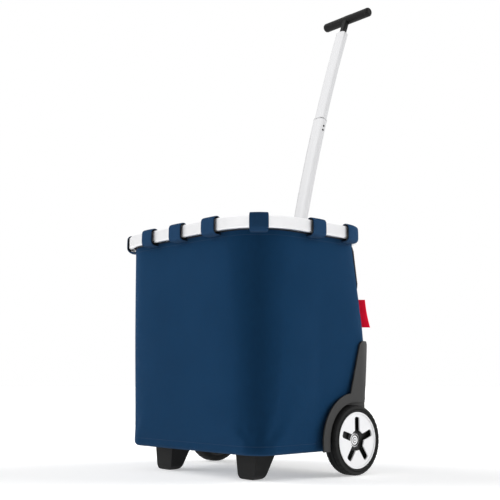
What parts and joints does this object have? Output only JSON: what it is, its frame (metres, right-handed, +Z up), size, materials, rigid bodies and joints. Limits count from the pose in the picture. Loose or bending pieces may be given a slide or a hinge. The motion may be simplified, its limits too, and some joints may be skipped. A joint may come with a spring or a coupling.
{
  "type": "shopping trolley on wheels",
  "caption": "Two-wheeled shopping trolley: navy fabric bag looped to an aluminium rim, plastic wheel arches, front feet and a curved telescopic handle with a T grip.",
  "frame": {"origin": "on the ground, at the middle of the box around the trolley with its handle pulled out and leaning back", "axes": "+Z up, -Y towards the front of the bag, +X to the trolley's right seen from in front of the bag's right side, along the axle"},
  "size_m": [0.433, 0.5004, 0.9899],
  "materials": {
    "rim_aluminium": "satin anodised",
    "tube_aluminium": "satin anodised",
    "bag_fabric": "navy polyester weave",
    "loop_fabric": "navy polyester weave with dark edges",
    "black_fabric": "black polyester weave",
    "tag_fabric": "red woven tape",
    "board_fabric": "fabric covered board",
    "dark_plastic": "fine grain",
    "foot_plastic": "fine grain",
    "arch_plastic": "fine grain",
    "wheel_black": "smooth",
    "tyre": "foamed rubber",
    "disc_plastic": "light grey",
    "bush_plastic": "bearing plastic",
    "hub_chrome": "polished",
    "cap_plastic": "light grey",
    "black_detail": "smooth",
    "grip_plastic": "fine grain",
    "button_plastic": "smooth",
    "steel": "bright zinc"
  },
  "bodies": {
    "trolley": {"rim_tube": "rim_aluminium", "rim_head": "dark_plastic", "rim_rivets": "steel", "front_loops": "loop_fabric", "side_loops": "loop_fabric", "corner_loops": "loop_fabric", "rear_loops": "loop_fabric", "bag": "bag_fabric", "bag_hem": "bag_fabric", "back_yoke": "black_fabric", "side_tag": "tag_fabric", "floor_board": "board_fabric", "base_plate": "dark_plastic", "front_foot_left": "foot_plastic", "front_foot_right": "foot_plastic", "foot_screws": "steel", "rear_chassis": "dark_plastic", "wheel_arch_left": "arch_plastic", "wheel_arch_right": "arch_plastic", "chassis_screws": "steel", "axle_left": "steel", "axle_right": "steel", "axle_clips": "steel", "tube_socket": "dark_plastic", "socket_screws": "steel", "outer_tube": "tube_aluminium"},
    "wheel_left": {"tyre_left": "tyre", "wheel_core_left": "wheel_black", "wheel_disc_left": "disc_plastic", "wheel_bush_left": "bush_plastic", "hub_cap_left": "hub_chrome"},
    "wheel_right": {"tyre_right": "tyre", "wheel_core_right": "wheel_black", "wheel_disc_right": "disc_plastic", "wheel_bush_right": "bush_plastic", "hub_cap_right": "hub_chrome"},
    "handle_middle": {"middle_tube": "tube_aluminium", "middle_cap": "cap_plastic", "middle_rivets": "black_detail", "middle_guide": "black_detail", "middle_catch": "steel"},
    "handle_upper": {"upper_tube": "tube_aluminium", "upper_guide": "black_detail", "upper_catch": "steel", "grip_neck": "grip_plastic", "grip_front_shell": "grip_plastic", "grip_back_shell": "grip_plastic", "grip_end_caps": "grip_plastic", "grip_screws": "steel", "button_spring": "steel"},
    "release_button": {"release_button": "button_plastic", "push_rod": "steel"}
  },
  "joints": [
    {"name": "wheel_left_spin", "type": "hinge", "parent": "trolley", "child": "wheel_left", "pos_m": [-0.187, 0.01242, 0.0615], "axis": [1, 0, 0], "continuous": true},
    {"name": "wheel_right_spin", "type": "hinge", "parent": "trolley", "child": "wheel_right", "pos_m": [0.187, 0.01242, 0.0615], "axis": [1, 0, 0], "continuous": true},
    {"name": "handle_lower_slide", "type": "hinge", "parent": "trolley", "child": "handle_middle", "pos_m": [0, 3.79182, -0.4441], "axis": [1, 0, 0], "range_deg": [0, 4.7]},
    {"name": "handle_upper_slide", "type": "hinge", "parent": "handle_middle", "child": "handle_upper", "pos_m": [0, 3.79182, -0.4441], "axis": [1, 0, 0], "range_deg": [0, 3.3]},
    {"name": "release_button_press", "type": "slide", "parent": "handle_upper", "child": "release_button", "axis": [0, -0.3613, -0.9325], "range_m": [0, 0.004], "stiffness_N_per_m": 400, "springref_m": -0.003}
  ]
}
